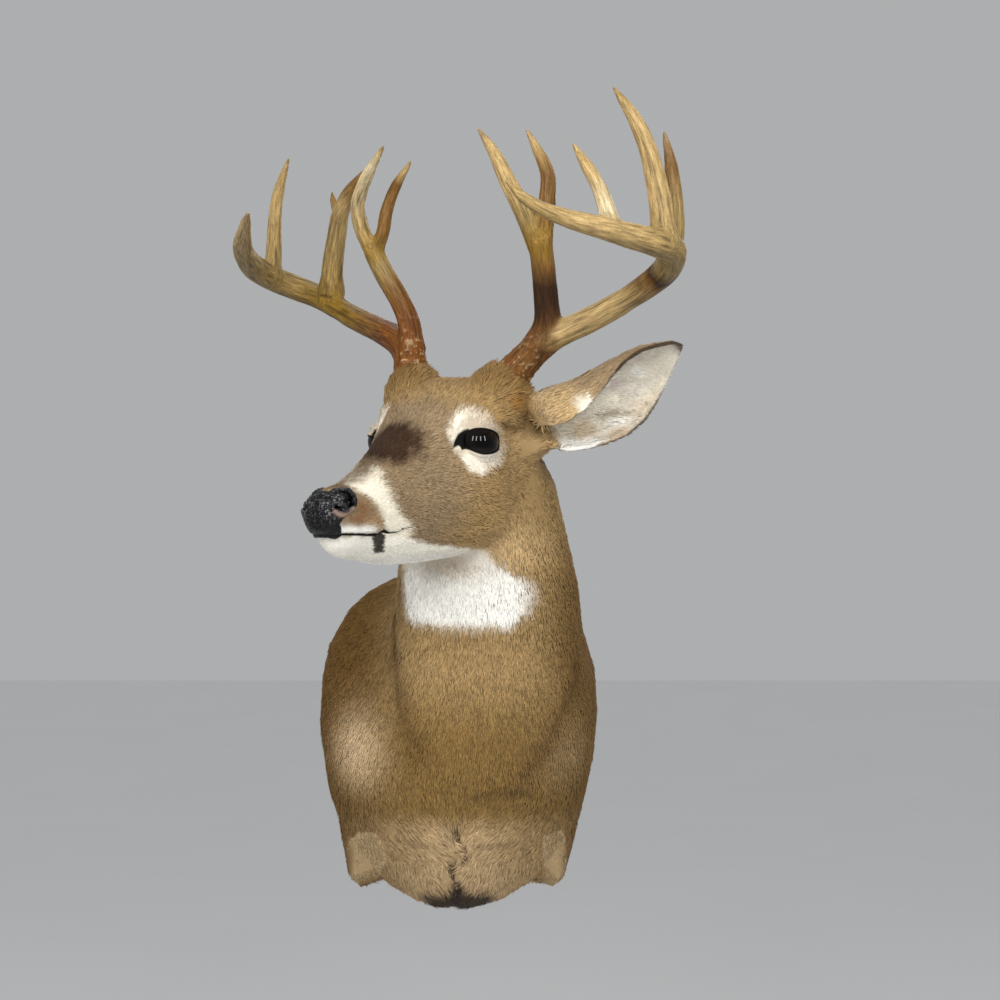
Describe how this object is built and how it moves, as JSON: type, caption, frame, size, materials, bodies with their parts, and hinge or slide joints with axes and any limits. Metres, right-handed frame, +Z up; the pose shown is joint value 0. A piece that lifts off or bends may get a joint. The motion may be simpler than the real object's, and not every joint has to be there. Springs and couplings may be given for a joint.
{
  "type": "whitetail buck shoulder mount",
  "caption": "Life-size stuffed head, neck and chest of a whitetail buck for a wall, head turned to its right, with branched antlers, glass eyes and a flat back board.",
  "frame": {"origin": "the middle of the back board's rear face, which hangs against the wall", "axes": "+Y out of the back board into the wall, -Y the way the chest faces, +Z up, +X to the buck's left"},
  "size_m": [0.4703, 0.5548, 0.8301],
  "materials": {
    "hide": "short dense fur",
    "nose_leather": "pebbled, satin",
    "eye_glass": "polished",
    "antler": "hard bone, satin, grooved",
    "plywood": "bare plywood"
  },
  "bodies": {
    "root": {"chest": "hide", "neck": "hide", "head": "hide", "lower_jaw": "hide", "foreleg_left": "hide", "foreleg_right": "hide", "ear_left": "hide", "ear_right": "hide", "nose_pad": "nose_leather", "eye_left": "eye_glass", "eye_right": "eye_glass", "antler_left_beam_base": "antler", "antler_left_beam_tip": "antler", "antler_left_brow": "antler", "antler_left_brow_front": "antler", "antler_left_brow_rear": "antler", "antler_left_second": "antler", "antler_left_third": "antler", "antler_left_fourth": "antler", "antler_right_beam_base": "antler", "antler_right_beam_tip": "antler", "antler_right_brow": "antler", "antler_right_brow_front": "antler", "antler_right_brow_rear": "antler", "antler_right_second": "antler", "antler_right_second_spur": "antler", "antler_right_third": "antler", "back_board": "plywood"}
  },
  "joints": []
}
